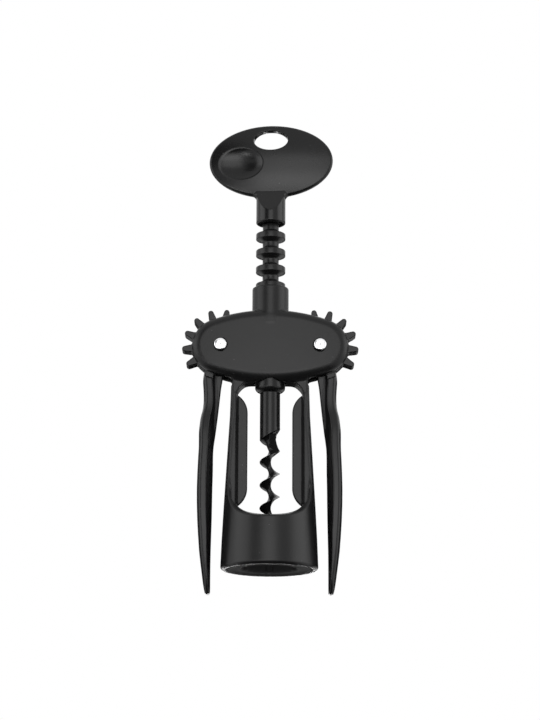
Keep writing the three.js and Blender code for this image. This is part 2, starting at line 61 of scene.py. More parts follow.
# Bell frame: cup, posts with fins, head plates and collar, die-cast in zinc as one piece with
# small cast radii everywhere, then sprayed with satin black lacquer. It is written as a field of
# distances in millimetres, which is below zero in the metal, and then given a skin of quads.
millimetre = 0.001
tiny = 1e-9
edge_nearness = 0.05


def filleted(a, b, radius):
    """Both shapes joined, with a fillet of that radius where they meet."""
    near = np.hypot(np.maximum(radius - a, 0), np.maximum(radius - b, 0))
    return np.maximum(radius, np.minimum(a, b)) - near


def rounded(a, b, radius):
    """What the shapes share, with its edge rounded to that radius."""
    near = np.hypot(np.maximum(radius + a, 0), np.maximum(radius + b, 0))
    return np.minimum(-radius, np.maximum(a, b)) + near


def cut(a, b, radius):
    """The first shape less the second, with the new edge rounded."""
    return rounded(a, -b, radius)


def oval_edge(a, b, radius_a, radius_b):
    """What the shapes share, with its edge rounded to a quarter of an ellipse."""
    near_a = np.maximum(1 + a / radius_a, 0)
    near_b = np.maximum(1 + b / radius_b, 0)
    near = np.hypot(near_a, near_b)
    rate = np.hypot(near_a / radius_a, near_b / radius_b)

    # Far inside there is no edge to round, and any depth will do
    return np.where(near > edge_nearness, near * (near - 1) / np.maximum(rate, tiny), -radius_b)


def slopes(field, points, reach):
    """How fast the field grows along X, Y and Z at each point."""
    grown = []
    for axis in range(3):
        step = np.zeros(3)
        step[axis] = reach
        grown.append((field(*(points + step).T) - field(*(points - step).T)) / (2 * reach))
    return np.stack(grown, axis=1)


def facing_out(field, points, reach):
    """The way that the field's surface faces at each point."""
    slope = slopes(field, points, reach)
    return slope / np.maximum(np.linalg.norm(slope, axis=1, keepdims=True), tiny)


def meshed(name, points, faces, facing=None):
    """A mesh object from points in millimetres, a list of faces and the way each point faces."""
    mesh = bpy.data.meshes.new(name)
    mesh.from_pydata((np.asarray(points) * millimetre).tolist(), [], faces)
    mesh.shade_smooth()
    if facing is not None:
        mesh.normals_split_custom_set_from_vertices(facing.tolist())
    piece = bpy.data.objects.new(name, mesh)
    bpy.context.scene.collection.objects.link(piece)
    return piece


def cells_beside(index, others, corners):
    """The four cells of the grid about each crossed edge, in the order of those corners."""
    for back_first, back_second in corners:
        cell = index.copy()
        cell[:, others[0]] -= back_first
        cell[:, others[1]] -= back_second
        yield cell


facing_reach = 0.45  # shares of the grid's step
slope_reach = 0.1
longest_move = 0.7
slide = 0.6  # how far a corner slides towards the middle of its neighbours
least_steepness = 0.05
rounds = 5
sliding_rounds = (1, 2, 3)
moves_a_round = 2


def skinned(name, field, low, high, step):
    """A mesh object over the field's zero surface, whose corners lie on the exact surface."""
    axes = [np.arange(a - step, b + 2 * step, step) for a, b in zip(low, high)]
    value = field(*np.meshgrid(*axes, indexing="ij"))
    inside = value < 0
    shape = tuple(n - 1 for n in value.shape)
    total = np.zeros(shape + (3,))
    count = np.zeros(shape)

    # Each cell that the surface crosses gets a corner, at the middle of its crossed edges
    crossings = []
    for axis in range(3):
        here = [slice(None)] * 3
        there = [slice(None)] * 3
        here[axis] = slice(0, -1)
        there[axis] = slice(1, None)
        a = value[tuple(here)]
        b = value[tuple(there)]
        crossed = inside[tuple(here)] != inside[tuple(there)]
        index = np.argwhere(crossed)
        place = index.astype(float)
        place[:, axis] += a[crossed] / (a[crossed] - b[crossed])
        others = [k for k in range(3) if k != axis]
        for cell in cells_beside(index, others, ((0, 0), (0, 1), (1, 0), (1, 1))):
            held = ((cell >= 0) & (cell < shape)).all(axis=1)
            np.add.at(total, tuple(cell[held].T), place[held])
            np.add.at(count, tuple(cell[held].T), 1)
        crossings.append((axis, others, index, inside[tuple(here)][crossed]))
    used = count > 0
    number = np.full(shape, -1)
    number[used] = np.arange(used.sum())
    points = total[used] / count[used][:, None] * step + [a[0] for a in axes]

    # Each crossed edge gets a quad between the four cells about it, turned to face out
    faces = []
    for axis, others, index, solid_first in crossings:
        around_edge = cells_beside(index, others, ((0, 0), (1, 0), (1, 1), (0, 1)))
        quads = np.stack([number[tuple(cell.T)] for cell in around_edge], axis=1)
        outward = solid_first if axis != 1 else ~solid_first
        quads[~outward] = quads[~outward][:, ::-1]
        faces.append(quads)
    faces = np.concatenate(faces)

    # Corners slide towards the middle of their neighbours and go back to the surface
    for this_round in range(rounds):
        if this_round in sliding_rounds:
            beside = np.zeros_like(points)
            met = np.zeros(len(points))
            for a in range(4):
                for b in ((a + 1) % 4, (a + 3) % 4):
                    np.add.at(beside, faces[:, a], points[faces[:, b]])
                    np.add.at(met, faces[:, a], 1)
            points = points * (1 - slide) + beside / met[:, None] * slide
        for move_number in range(moves_a_round):
            slope = slopes(field, points, step * slope_reach)
            steep = np.maximum((slope ** 2).sum(axis=1), least_steepness)
            move = (field(*points.T) / steep)[:, None] * slope
            length = np.linalg.norm(move, axis=1, keepdims=True)
            points -= move * np.minimum(1, step * longest_move / np.maximum(length, tiny))
    return meshed(name, points, faces.tolist(), facing_out(field, points, step * facing_reach))


pivot_height = 89.2
pivot_offset = 19.82

# Tables of heights and what holds there: the outer and inner radius, the posts' inner sides and
# their draft, how flat those sides are, and the rounding of the edge between inside and outside
bell_radii = ([0, 12, 25, 61.5, 74.5], [19.17, 18.7, 18.02, 15.9, 15.52])
cup_radii = ([10, 61.5], [16.15, 14.4])
post_sides = ([24, 35, 62], [14.6, 14.05, 12.6])
post_drafts = ([35, 62], [1.3, 0.85])
flat_shares = ([24, 34, 61, 67], [0, 1, 1, 0])
inner_edges = ([3, 13, 60, 66], [0.25, 1.15, 1.15, 0.6])
lip_edge = 1.3
bell_top = 88
bell_top_edge = 0.1
seat_height = 10
seat_radius = 16.9
post_half_depth = 3.6

# The windows are swept by a round cutter from the front and the back
window_radius = 20.3
window_reach = 25.1
window_bend_height = 37.9
window_edge = 0.45
arch_foot = 67.5
arch_height = 8

fin_slot_offset = 17.65
fin_slot_heights = (32.5, 62.5)
fin_slot_radius = 8.8
fin_half_thickness = 1.2
fin_edge = 0.45
fin_setback = 0.5
web_slope = 3.5
web_offset = 12.47
web_half_depth = 4.75
web_setback = 0.3
web_edge = 0.5

head_end_radius = 11.35
head_side_radius = 70.99
head_side_drop = 56.25
head_half_length = 31
head_half_height = 15
head_half_depth = 7.4
head_crowns = (1.3, 0.2)
plate_edge_width = 3.6
plate_edge_depth = 2.8
head_fillet = 1.3
gear_room_radius = 16
gear_room_half_depth = 3.4
gear_room_edge = 0.3

collar_radius = 7.28
collar_centre = 106
collar_half_height = 8
collar_edge = 0.6
collar_fillet = 0.5
rack_bore = 6.27
collar_bore = 6.23
collar_bore_foot = 88.5
rack_bore_foot = 72.5
bore_edge = 0.2
pin_hole_radius = 2.3
recess_radius = 2.58
recess_floor = 6.6
recess_edge = 0.12


def fin_slot(wide, z):
    """The outline of a fin: a long slot with round ends."""
    return np.hypot(wide - fin_slot_offset, z - np.clip(z, *fin_slot_heights)) - fin_slot_radius


def bell_field(x, y, z):
    """The field of the bell frame."""
    radius = np.hypot(x, y)
    wide = np.abs(x)
    deep = np.abs(y)
    outer = radius - np.interp(z, *bell_radii)
    body = rounded(outer, -z, lip_edge)
    body = rounded(body, z - bell_top, bell_top_edge)
    sweep = window_radius - np.hypot(deep - window_reach, np.minimum(z - window_bend_height, 0))
    shell = rounded(body, sweep, window_edge)

    # Inside, a round cup and a round arch, with drafted flat sides on the posts between them
    inner = np.where(z < seat_height, seat_radius, np.interp(z, *cup_radii))
    dome_width = np.maximum(radius - rack_bore, 0) / (inner - rack_bore)
    dome = np.hypot(dome_width, np.maximum(z - arch_foot, 0) / arch_height)
    cavity = (dome - 1) * (inner - rack_bore)
    draft = np.interp(z, *post_drafts)
    foot = np.interp(z, *post_sides)
    side = post_half_depth * (wide - foot) - draft * (deep - fin_half_thickness)
    side = side / np.hypot(post_half_depth, draft)
    flat = np.interp(z, *flat_shares)
    cavity = cavity * (1 - flat) + side * flat
    shell = cut(shell, cavity, np.interp(z, *inner_edges))

    # The fins' outline is a long round-ended slot, and a slanted web joins them to the posts
    fin = rounded(fin_slot(wide, z), deep - fin_half_thickness, fin_edge)
    slant = ((deep - fin_half_thickness) - web_slope * (wide - web_offset)) / np.hypot(1, web_slope)
    web = np.maximum(slant, deep - web_half_depth)
    web = rounded(web, fin_slot(wide, z) + web_setback, web_edge)
    fin = np.maximum(np.minimum(fin, web), outer + fin_setback)
    shell = filleted(shell, fin, fin_edge)

    # Small arcs about the pivots, joined by large ones above and below, under a slight crown
    up = np.abs(z - pivot_height)
    ends = np.hypot(wide - pivot_offset, up) - head_end_radius
    sides = np.hypot(x, up + head_side_drop) - head_side_radius
    plate = np.where(wide * head_side_drop > pivot_offset * (up + head_side_drop), ends, sides)
    crown = head_crowns[0] * (wide / head_half_length) ** 2 + head_crowns[1] * (up / head_half_height) ** 2
    head = oval_edge(plate, deep - head_half_depth + crown, plate_edge_width, plate_edge_depth)
    frame_body = filleted(shell, head, head_fillet)
    collar = rounded(radius - collar_radius, np.abs(z - collar_centre) - collar_half_height, collar_edge)
    frame_body = filleted(frame_body, collar, collar_fillet)

    # Room for the gears between the plates, the rack's bore, and the pins' holes and recesses
    round_pin = np.hypot(wide - pivot_offset, z - pivot_height)
    gear_room = np.maximum(round_pin - gear_room_radius, deep - gear_room_half_depth)
    frame_body = cut(frame_body, gear_room, gear_room_edge)
    bore = np.where(z < collar_bore_foot, radius - rack_bore, radius - collar_bore)
    frame_body = cut(frame_body, np.maximum(bore, rack_bore_foot - z), bore_edge)
    frame_body = np.maximum(frame_body, pin_hole_radius - round_pin)
    recess = np.maximum(round_pin - recess_radius, recess_floor - deep)
    return cut(frame_body, recess, recess_edge)


bell = skinned("bell", bell_field, low=(-31.2, -19.2, 0), high=(31.2, 19.2, 114), step=0.45)


def node_set(nodes, kind, sockets):
    """A new node of that kind, with those of its sockets set."""
    node = nodes.new(kind)
    for name, value in sockets.items():
        node.inputs[name].default_value = value
    return node


def lacquer(name, colour, roughness, grain, shine=0.25):
    """Sprayed black lacquer: clouding, a wavy cast surface, a fine grain and specks of dust."""
    material = bpy.data.materials.new(name)
    material.use_nodes = True
    nodes = material.node_tree.nodes
    link = material.node_tree.links.new
    shader = nodes["Principled BSDF"]
    shader.inputs["Metallic"].default_value = 0
    shader.inputs["Specular IOR Level"].default_value = shine
    place = nodes.new("ShaderNodeTexCoord")

    # The coat is a tenth darker or lighter from cloud to cloud
    cloud = node_set(nodes, "ShaderNodeTexNoise", {"Scale": 90, "Detail": 3})
    link(place.outputs["Object"], cloud.inputs["Vector"])
    tint = nodes.new("ShaderNodeValToRGB")
    for stop, position, share in zip(tint.color_ramp.elements, (0.3, 0.7), (0.9, 1.1)):
        stop.position = position
        stop.color = [c * share for c in colour] + [1]
    link(cloud.outputs["Fac"], tint.inputs["Fac"])

    # A speck of dust sits in the middle of one small cell in five
    specks = node_set(nodes, "ShaderNodeTexVoronoi", {"Scale": 560})
    link(place.outputs["Object"], specks.inputs["Vector"])
    ends = {"From Min": 0.05, "From Max": 0.09, "To Min": 1, "To Max": 0}
    small = node_set(nodes, "ShaderNodeMapRange", ends)
    link(specks.outputs["Distance"], small.inputs["Value"])
    split = nodes.new("ShaderNodeSeparateColor")
    link(specks.outputs["Color"], split.inputs["Color"])
    few = node_set(nodes, "ShaderNodeMapRange", {"From Min": 0.8, "From Max": 1})
    link(split.outputs["Red"], few.inputs["Value"])
    dust = nodes.new("ShaderNodeMath")
    dust.operation = "MULTIPLY"
    link(small.outputs["Result"], dust.inputs[0])
    link(few.outputs["Result"], dust.inputs[1])
    dusted = nodes.new("ShaderNodeMix")
    dusted.data_type = "RGBA"
    dusted.inputs["B"].default_value = (0.16, 0.16, 0.16, 1)
    link(dust.outputs["Value"], dusted.inputs["Factor"])
    link(tint.outputs["Color"], dusted.inputs["A"])
    link(dusted.outputs["Result"], shader.inputs["Base Color"])

    # The roughness follows the clouds, and so does a wave under the fine grain
    gloss = node_set(nodes, "ShaderNodeMapRange", {"To Min": roughness * 0.9, "To Max": roughness * 1.1})
    link(cloud.outputs["Fac"], gloss.inputs["Value"])
    link(gloss.outputs["Result"], shader.inputs["Roughness"])
    wave = node_set(nodes, "ShaderNodeBump", {"Strength": 0.5, "Distance": 0.0001})
    link(cloud.outputs["Fac"], wave.inputs["Height"])
    fine = node_set(nodes, "ShaderNodeTexNoise", {"Scale": 2600, "Detail": 2})
    link(place.outputs["Object"], fine.inputs["Vector"])
    bump = node_set(nodes, "ShaderNodeBump", {"Strength": grain, "Distance": 0.00004})
    link(fine.outputs["Fac"], bump.inputs["Height"])
    link(wave.outputs["Normal"], bump.inputs["Normal"])
    link(bump.outputs["Normal"], shader.inputs["Normal"])
    return material


black = (0.007, 0.007, 0.0072)
bell.data.materials.append(lacquer("satin_black_frame", black, roughness=0.34, grain=0.5))
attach(bell, "frame")
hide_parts("bell_frame")

# Bottle guide: a black moulded plastic ring pushed into the mouth, under a step in the bell.
# Its floor has a drafted bore for the cork with six ribs, and a skirt against the bell's wall.
guide_face = 0.15
guide_top = 9.7
guide_reach = 16.6
face_dish = (0.1, 4.5)  # its slope, and how far in it goes
guide_bore_radii = ([0.6, 9.7], [11, 9.8])
wall_half = 0.75
skirt_middle = 15.85
skirt_edge = 0.3
bore_wall_edge = 0.6
floor_middle = 13.8
floor_half_width = 2.8
floor_top = 2.6
skirt_fillet = 0.4
bore_wall_fillet = 0.5
ribs = 6
rib_half_width = 1.2
rib_middle = 10.9
rib_half_depth = 0.9
rib_edge = 0.3
rib_end_edge = 0.35


def guide_field(x, y, z):
    """The field of the bottle guide."""
    radius = np.hypot(x, y)
    face = guide_face + face_dish[0] * np.clip(guide_reach - radius, 0, face_dish[1])
    tall = np.maximum(face - z, z - guide_top)
    bore = np.interp(z, *guide_bore_radii)
    skirt = rounded(np.abs(radius - skirt_middle) - wall_half, tall, skirt_edge)
    bore_wall = rounded(np.abs(radius - bore - wall_half) - wall_half, tall, bore_wall_edge)
    low = np.maximum(face - z, z - floor_top)
    floor = rounded(np.abs(radius - floor_middle) - floor_half_width, low, bore_wall_edge)
    ring = filleted(filleted(floor, skirt, skirt_fillet), bore_wall, bore_wall_fillet)
    turn = np.arctan2(x, y)
    turn = turn - np.round(turn * (ribs / 2) / pi) * pi / (ribs / 2)
    rib_length = np.abs(radius * np.cos(turn) - rib_middle) - rib_half_depth
    rib = rounded(radius * np.abs(np.sin(turn)) - rib_half_width, rib_length, rib_edge)
    return filleted(ring, rounded(rib, tall, rib_end_edge), rib_edge)


guide = skinned("guide", guide_field, low=(-16.6, -16.6, 0.1), high=(16.6, 16.6, 9.7), step=0.3)
guide_black = (0.026, 0.026, 0.0262)
guide_plastic = lacquer("black_guide_plastic", guide_black, roughness=0.75, grain=0.3, shine=0.12)
guide.data.materials.append(guide_plastic)
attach(guide, "frame")
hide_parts("bottle_guide")

# Rack: eight thin rings turned on a tube, lacquered with the frame. The levers' gears mesh with
# them inside the head, and the worm's rod runs through its bore.
rings = 8
ring_pitch = 7
first_ring = 86.6
ring_radius = 5.93
ring_corner = 0.45
ring_corner_height = 0.894
ring_corner_turn = 68.5
ring_flank = [(3.27, 2.85), (3.31, 2.55), (3.47, 2.3), (3.8, 2.04)]  # radius, height from the ring
tube_radius = 3.27
tube_bore = 2.2
tube_foot = 81.9
tube_top = 140.8
tube_sides = 96
foot_corner = 0.2
top_corner = 0.15


def turned(name, profile, sides):
    """A profile of (radius, height) points in millimetres turned about Z, closed on itself."""
    profile = np.array(profile)
    angle = np.arange(sides) * 2 * pi / sides
    rows = len(profile)
    across = np.outer(np.cos(angle), profile[:, 0])
    along = np.outer(np.sin(angle), profile[:, 0])
    heights = np.outer(np.ones(sides), profile[:, 1])
    points = np.stack([across, along, heights], axis=2).reshape(-1, 3)
    side = np.repeat(np.arange(sides), rows)
    row = np.tile(np.arange(rows), sides)
    next_side = (side + 1) % sides
    next_row = (row + 1) % rows
    corners = [(side, row), (next_side, row), (next_side, next_row), (side, next_row)]
    faces = np.stack([s * rows + r for s, r in corners], axis=1)
    return meshed(name, points, faces.tolist())


def bent(centre, size, start, end, steps):
    """Points on a small arc, for the rounded corner of a profile."""
    angles = np.radians(np.linspace(start, end, steps + 1))
    return [(centre[0] + size * cos(a), centre[1] + size * sin(a)) for a in angles]


rack_profile = [(tube_bore, tube_foot)]
rack_profile += bent((tube_radius - foot_corner, tube_foot + foot_corner), foot_corner, -90, 0, 3)
for ring in range(rings):
    height = first_ring + ring_pitch * ring
    rim = ring_radius - ring_corner
    rack_profile += [(r, height - h) for r, h in ring_flank]
    rack_profile += bent((rim, height - ring_corner_height), ring_corner, -ring_corner_turn, 0, 5)
    rack_profile += bent((rim, height + ring_corner_height), ring_corner, 0, ring_corner_turn, 5)
    rack_profile += [(r, height + h) for r, h in ring_flank[::-1]]
rack_profile += bent((tube_radius - top_corner, tube_top - top_corner), top_corner, 0, 90, 2)
rack_profile += [(tube_bore, tube_top)]
rack = turned("rack", rack_profile, tube_sides)
rack.data.materials.append(lacquer("satin_black_rack", black, roughness=0.3, grain=0.4))
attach(rack, "rack")
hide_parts("rack_sleeve")

# Key: an oval lens with a hole near its top and a thumb dish on each face, cast with a round
# neck that two flats thin down to the blade. Its edge is fully round.
key_turn = -4.2
blade_centre = 167.8
blade_half_width = 25.25
blade_half_height = 15.5
blade_half_depth = 3.3
blade_thinning = 2.3
blade_edge = 0.95
neck_radius = 5.93
neck_centre = 148.7
neck_half_height = 7.6
neck_edge = 0.65
neck_flat_foot = 145.8
neck_flat_run = (4.38, 9.1)  # in and up
neck_flat_length = 10.1
neck_flat_edge = 0.12
neck_fillets = (0.25, 1.3)  # at the blade's faces, and how much more at its edge
side_fillet_offset = 4.6
side_fillet_blend = 1.2
side_fillet_top = 154.6
hole_centre = 176.5
hole_half_width = 6.95
hole_half_height = 4.25
hole_edge = 0.5
dish_place = (13.8, 4.391, 166.5)
dish_radii = (11.085, 3.6, 8.314)
dish_edge = 0.3
rod_socket_top = 148.6
least_rate = 1e-4


def oval(across, along, half_width, half_height):
    """About the distance to an ellipse."""
    near = np.hypot(across / half_width, along / half_height)
    rate = np.hypot(across / half_width ** 2, along / half_height ** 2)
    return near * (near - 1) / np.maximum(rate, least_rate)


def key_field(x, y, z):
    """The field of the key."""
    turn = radians(key_turn)
    x, y = x * cos(turn) + y * sin(turn), y * cos(turn) - x * sin(turn)
    radius = np.hypot(x, y)
    deep = np.abs(y)
    rise = z - blade_centre
    share = np.minimum(np.hypot(x / blade_half_width, rise / blade_half_height), 1)
    outline = oval(x, rise, blade_half_width, blade_half_height)
    blade = rounded(outline, deep - blade_half_depth + blade_thinning * share ** 2, blade_edge)

    # The neck's sides run into the blade in a fillet, and its flats end in a crisp ledge
    neck = rounded(radius - neck_radius, np.abs(z - neck_centre) - neck_half_height, neck_edge)
    flat = (deep - neck_radius) * neck_flat_run[1] + (z - neck_flat_foot) * neck_flat_run[0]
    neck = rounded(neck, flat / neck_flat_length, neck_flat_edge)
    beside = np.clip((np.abs(x) - side_fillet_offset) / side_fillet_blend, 0, 1)
    beside = beside * np.clip(side_fillet_top - z, 0, 1)
    key = filleted(neck, blade, neck_fillets[0] + neck_fillets[1] * beside)
    key = cut(key, oval(x, z - hole_centre, hole_half_width, hole_half_height), hole_edge)

    # Each dish is cut by a flattened ball
    for face in (-1, 1):
        middle = (face * dish_place[0], face * dish_place[1], dish_place[2])
        spots = [(a - m) / r for a, m, r in zip((x, y, z), middle, dish_radii)]
        near = np.sqrt(sum(s ** 2 for s in spots))
        rate = np.sqrt(sum((s / r) ** 2 for s, r in zip(spots, dish_radii)))
        key = cut(key, near * (near - 1) / np.maximum(rate, least_rate), dish_edge)
    return np.maximum(key, np.minimum(tube_bore - radius, rod_socket_top - z))


key = skinned("key", key_field, low=(-25.3, -6, 141.1), high=(25.3, 6, 183.4), step=0.34)
key.data.materials.append(lacquer("satin_black_key", black, roughness=0.22, grain=0.4))
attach(key, "key")
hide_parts("key_handle")

# Worm: a steel rod through the rack with a collar and shank under it, and a screw that a
# right-handed groove leaves of the shank's rod, with a sharp crest and a core beside the axis.
# All of it is under a black non-stick coating. The rod and the screw have a skin each.
shank_radius = 4
shank_top = 75
shank_top_edge = 0.1
shank_end = 53.65
shank_end_slope = 0.5625
shank_end_share = 0.8716  # of a height that lies square to the end's slope
shank_end_edge = 0.2
worm_collar_radius = 5.97
worm_collar_heights = (71, 81.6)
worm_collar_edges = (1.9, 0.3)
worm_collar_fillet = 0.5
rod_radius = 1.9
rod_centre = 114.1
rod_half_length = 34.2

# The strip of rod that is left where the groove runs out, above the first crest on the right:
# how far left and how deep it reaches at some heights, and its slanted foot
strip_edges = ([47, 48.5, 50, 51.5, 53, 54.5, 56], [4.2, 3.3, 2.75, 2.4, 2.3, 2.75, 4])
strip_depths = ([47, 50, 54], [0.45, 1.5, 2.9])
strip_left = -0.35
strip_foot = 47.1
strip_foot_offset = 3.9
strip_foot_slope = 0.8
strip_foot_share = 0.78
strip_top = 56.5
strip_corner = 0.15
strip_side_edge = 0.4
strip_top_edge = 0.1


def worm_field(x, y, z):
    """The field of the worm's rod, collar and shank."""
    radius = np.hypot(x, y)
    slope = (shank_end + shank_end_slope * x - z) * shank_end_share
    shank = rounded(rounded(radius - shank_radius, z - shank_top, shank_top_edge), slope, shank_end_edge)
    low, high = worm_collar_heights
    collar = rounded(radius - worm_collar_radius, low - z, worm_collar_edges[0])
    collar = rounded(collar, z - high, worm_collar_edges[1])
    worm = filleted(shank, collar, worm_collar_fillet)

    edge = x - np.interp(z, *strip_edges)
    under = (strip_foot - z + strip_foot_slope * (x - strip_foot_offset)) * strip_foot_share
    strip = rounded(np.maximum(edge, strip_left - x), under, strip_corner)
    strip = rounded(strip, np.abs(y) - np.interp(z, *strip_depths), strip_side_edge)
    strip = rounded(strip, z - strip_top, strip_top_edge)
    worm = filleted(worm, np.maximum(strip, radius - shank_radius), strip_corner)
    rod = np.maximum(radius - rod_radius, np.abs(z - rod_centre) - rod_half_length)
    return np.minimum(worm, rod)


worm = skinned("worm", worm_field, low=(-5.97, -5.97, 43.6), high=(5.97, 5.97, 148.3), step=0.26)

screw_tip = 7
screw_top = 57.2
screw_rows = 331
screw_pitch = 9.2
crest_height = 47.4  # where a crest points to the right
point_length = 8
runout_length = 8.5
core_reach = 0.38
crest_reach = 3.92
half_width = 0.93
tip_half_width = 0.27
crest_fineness = 0.76
widest_share = 0.81
skin = 0.08
crest_fan = (-0.8, 0, 0.8)

# What the section gains where the groove runs out, and what its crest loses there and at the tip
runout_half_width = 1.94
runout_core_reach = 3.44
runout_crest_loss = 0.05
tip_crest_loss = 0.7
section_points = 41


def screw_grid():
    """Rows of points round the screw's section from its tip up, with the crest drawn to a fan."""
    around_section = np.linspace(0, 2 * pi, section_points)[1:-1]
    blunt = np.sin(around_section) * np.abs(np.sin(around_section / 2)) ** crest_fineness / widest_share
    rows = []
    for z in np.linspace(screw_tip, screw_top, screw_rows):
        full = min((z - screw_tip) / point_length, 1)
        size = sin(full * pi / 2)
        runout = min(max((z - crest_height) / runout_length, 0), 1)
        half = tip_half_width + (half_width + runout_half_width * runout ** 2) * size
        far = crest_reach - runout_crest_loss * runout - (1 - full) * tip_crest_loss
        core = core_reach + runout_core_reach * runout
        near = (far - 2 * tip_half_width) * (1 - size) - core * size
        along = (far + near) / 2 + (far - near) / 2 * np.cos(around_section)
        across = half * blunt

        # A skin of even thickness lies over this section, so that its crest is a fine edge
        way = np.stack([np.gradient(across), -np.gradient(along)], axis=1)
        way /= np.linalg.norm(way, axis=1, keepdims=True)
        points = np.stack([along, across], axis=1) + skin * way
        fan = [(far + skin * cos(a), skin * sin(a)) for a in crest_fan]
        points = np.concatenate([points, fan])
        turn = 2 * pi * (z - crest_height) / screw_pitch
        x = points[:, 0] * cos(turn) - points[:, 1] * sin(turn)
        y = points[:, 0] * sin(turn) + points[:, 1] * cos(turn)
        rows.append(np.stack([x, y, np.full(len(x), z)], axis=1))
    return np.array(rows)


def lofted(name, rows):
    """A closed skin over rows of points, with a fan over each end."""
    count = rows.shape[1]
    number = np.arange(rows.shape[0] * count).reshape(rows.shape[0], count)
    beside = np.roll(number, -1, axis=1)
    faces = np.stack([number[:-1], beside[:-1], beside[1:], number[1:]], axis=-1).reshape(-1, 4).tolist()
    points = rows.reshape(-1, 3).tolist()
    for row, flip in ((0, True), (-1, False)):
        points.append(rows[row].mean(axis=0).tolist())
        for a, b in zip(number[row].tolist(), beside[row].tolist()):
            faces.append((b, a, len(points) - 1) if flip else (a, b, len(points) - 1))
    return meshed(name, points, faces)


screw = lofted("screw", screw_grid())
worm_black = (0.006, 0.006, 0.0062)
worm_coating = lacquer("black_worm_coating", worm_black, roughness=0.27, grain=0.25)
for piece in (worm, screw):
    piece.data.materials.append(worm_coating)
    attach(piece, "key")
    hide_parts("worm_spindle")

# Levers: a part gear on a hub between the plates, and an arm that opens into a paddle with a
# crowned outer face and slanted sides that meet in a narrow ridge. Both are the same casting.
teeth = 14
pitch_radius = 15.597
first_tooth_offset = 0.9
first_tooth = -1
last_tooth = 8
gap_turn = 5.3  # past it, a point lies before the first tooth
tooth_root = 10.6
tooth_shoulder = 14.3
tooth_half_root = 1.75
tooth_half_tip = 1.1
tooth_sink_radius = 9
gear_radius = 11.5
gear_fillet = 0.35
gear_half_depth = 3
gear_edge = 0.3
hub_bore = 2.3

# Down from the pivot, the outer face and the inner edge beside it, the half depth, and the share
# of the way from a plain bar to a paddle with a ridge
lever_rows = np.array([
    (0, 5.3, -2.1, 3.64, 0), (4, 5.42, -2, 3.64, 0.8), (13.3, 6.9, -0.86, 3.64, 0.9),
    (16.3, 6.62, -0.32, 3.64, 0.95), (19.5, 6.44, 0, 3.71, 0.95), (22.8, 6.44, 0.32, 3.85, 0.95),
    (26, 6.82, 0.67, 4.2, 0.95), (27.7, 7.46, 0.83, 4.62, 0.95), (30.9, 7.87, 1.22, 5.32, 1),
    (34.2, 8.21, 1.6, 5.95, 1), (37.4, 8.18, 2.05, 6.3, 1), (40.6, 8.15, 2.5, 6.58, 1),
    (43.8, 8.32, 2.62, 6.79, 1), (50.3, 8.59, 2.62, 7, 1), (56.7, 8.74, 2.75, 7, 1),
    (63, 8.67, 2.8, 6.93, 1), (69.4, 8.43, 2.88, 6.72, 1), (75.7, 8.03, 3.01, 6.44, 1),
    (82, 7.54, 3.15, 6.09, 1), (88.3, 6.75, 3.2, 5.6, 1), (94.6, 5.91, 3.2, 4.9, 1),
    (97.3, 5.46, 3.2, 3.64, 0.6), (98.7, 5, 3.36, 2.1, 0), (101, 4.6, 3.5, 1, 0),
])
row_span = (-5, 105)
row_step = 0.25
ease_steps = 12
ease_width = 1.1

ridge_half_width = 1.3
ridge_edge = 0.4
ridge_fillet = 0.35
rim_depth = 3.7
rim_share = 0.72
crown_height = 0.9
crown_power = 2.4
crown_reach = 1.2
crown_thinness = 3  # the arm is at least this many times as thick as the crown is high
least_crown = 0.35
side_edges = (0.05, 0.4)  # on a plain bar, and how much more on a paddle
arm_edge = 0.9
foot_shares = ([13, 20, 34], [0.62, 0.5, 0])  # how far out the slanted sides end, by the height
side_hollow = 1.8
inner_edge = 0.5
arm_top = 4
arm_top_edge = 0.1
arm_end = 98.7
arm_end_edge = 0.7
hub_room_radius = 13.5
hub_room_edge = 0.2
hub_fillet = 0.6


def eased(column):
    """A column of the lever's rows at every quarter of a millimetre, with its corners eased."""
    fine = np.arange(*row_span, row_step)
    weights = np.exp(-((np.arange(-ease_steps, ease_steps + 1) * row_step / ease_width) ** 2) / 2)
    line = np.interp(fine, lever_rows[:, 0], lever_rows[:, column])
    padded = np.pad(line, ease_steps, mode="edge")
    return fine, np.convolve(padded, weights / weights.sum(), mode="valid")


lever_lines = [eased(column) for column in (1, 2, 3, 4)]


